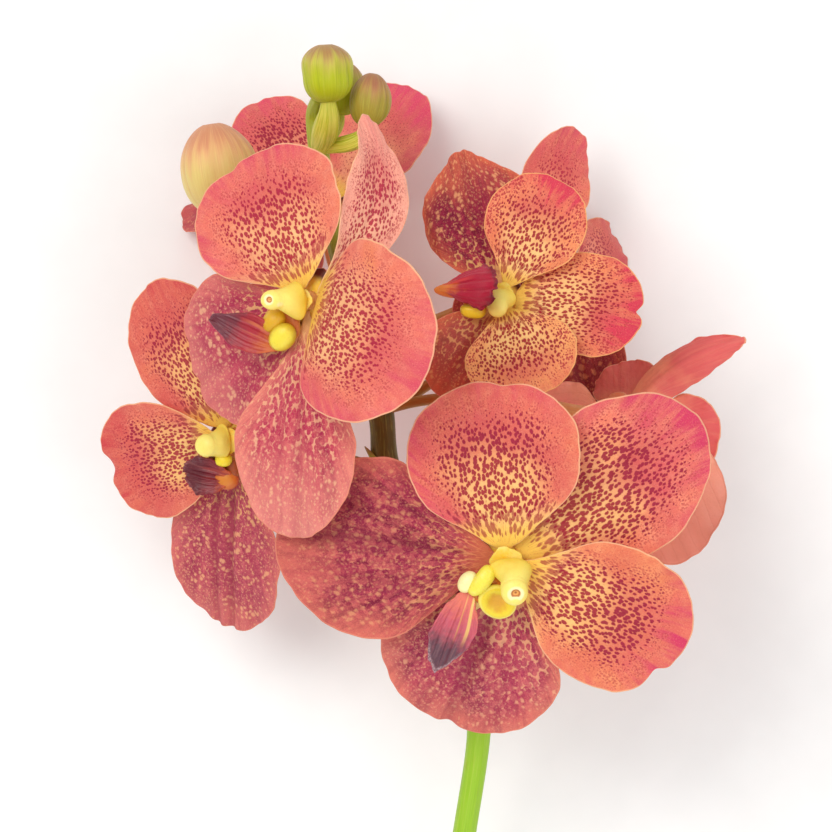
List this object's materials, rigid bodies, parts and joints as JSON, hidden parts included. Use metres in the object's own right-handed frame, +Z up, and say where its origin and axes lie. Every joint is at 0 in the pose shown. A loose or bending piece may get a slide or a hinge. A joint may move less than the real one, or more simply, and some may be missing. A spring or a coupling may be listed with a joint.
{
  "type": "cut vanda orchid",
  "caption": "Cut vanda orchid spray lying on its side: spotted salmon blooms with mauve sepals, yellow columns and dark lips, closed buds and a green stem.",
  "frame": {"origin": "on the surface the spray lies on, below the middle of its outline", "axes": "+Y along the spray from the cut end to the buds, +Z up, the way that the front blooms face; +X to the right as seen from above with the buds at the top"},
  "size_m": [0.1513, 0.2608, 0.1173],
  "materials": {
    "petal_spotted": "soft satin petal, salmon-orange with crimson spots on a yellow ground and a thin pale rim",
    "sepal_mauve": "soft satin sepal, mauve-pink with pale yellow dots, fine lengthwise grooves and a salmon margin",
    "lip": "waxy maroon tongue with yellow keels, yellow ears and an orange throat",
    "column": "waxy pale yellow with an orange-brown spot under the cap",
    "bud": "satin green-yellow to peach bud with ribs and a pink flush at its tip",
    "stem": "satin fresh green, fibrous, darkening to olive brown among the blooms"
  },
  "bodies": {
    "root": {"bloom_1_dorsal_sepal": "petal_spotted", "bloom_1_petal_left": "petal_spotted", "bloom_1_petal_right": "petal_spotted", "bloom_1_lateral_sepal_left": "sepal_mauve", "bloom_1_lateral_sepal_right": "sepal_mauve", "bloom_1_lip": "lip", "bloom_1_column": "column", "bloom_2_dorsal_sepal": "petal_spotted", "bloom_2_petal_left": "petal_spotted", "bloom_2_petal_right": "petal_spotted", "bloom_2_lateral_sepal_left": "sepal_mauve", "bloom_2_lateral_sepal_right": "sepal_mauve", "bloom_2_lip": "lip", "bloom_2_column": "column", "bloom_3_dorsal_sepal": "petal_spotted", "bloom_3_petal_left": "petal_spotted", "bloom_3_petal_right": "petal_spotted", "bloom_3_lateral_sepal_left": "sepal_mauve", "bloom_3_lateral_sepal_right": "sepal_mauve", "bloom_3_lip": "lip", "bloom_3_column": "column", "bloom_4_dorsal_sepal": "petal_spotted", "bloom_4_petal_left": "petal_spotted", "bloom_4_petal_right": "petal_spotted", "bloom_4_lateral_sepal_left": "sepal_mauve", "bloom_4_lateral_sepal_right": "sepal_mauve", "bloom_4_lip": "lip", "bloom_4_column": "column", "bloom_5_dorsal_sepal": "petal_spotted", "bloom_5_petal_left": "petal_spotted", "bloom_5_petal_right": "petal_spotted", "bloom_5_lateral_sepal_left": "sepal_mauve", "bloom_5_lateral_sepal_right": "sepal_mauve", "bloom_5_lip": "lip", "bloom_5_column": "column", "bloom_6_dorsal_sepal": "petal_spotted", "bloom_6_petal_left": "petal_spotted", "bloom_6_petal_right": "petal_spotted", "bloom_6_lateral_sepal_left": "sepal_mauve", "bloom_6_lateral_sepal_right": "sepal_mauve", "bloom_6_lip": "lip", "bloom_6_column": "column", "bloom_7_dorsal_sepal": "petal_spotted", "bloom_7_petal_left": "petal_spotted", "bloom_7_petal_right": "petal_spotted", "bloom_7_lateral_sepal_left": "sepal_mauve", "bloom_7_lateral_sepal_right": "sepal_mauve", "bloom_7_lip": "lip", "bloom_7_column": "column", "bud_tip": "bud", "bud_end": "bud", "bud_olive": "bud", "bud_cream": "bud", "stem": "stem"}
  },
  "joints": []
}
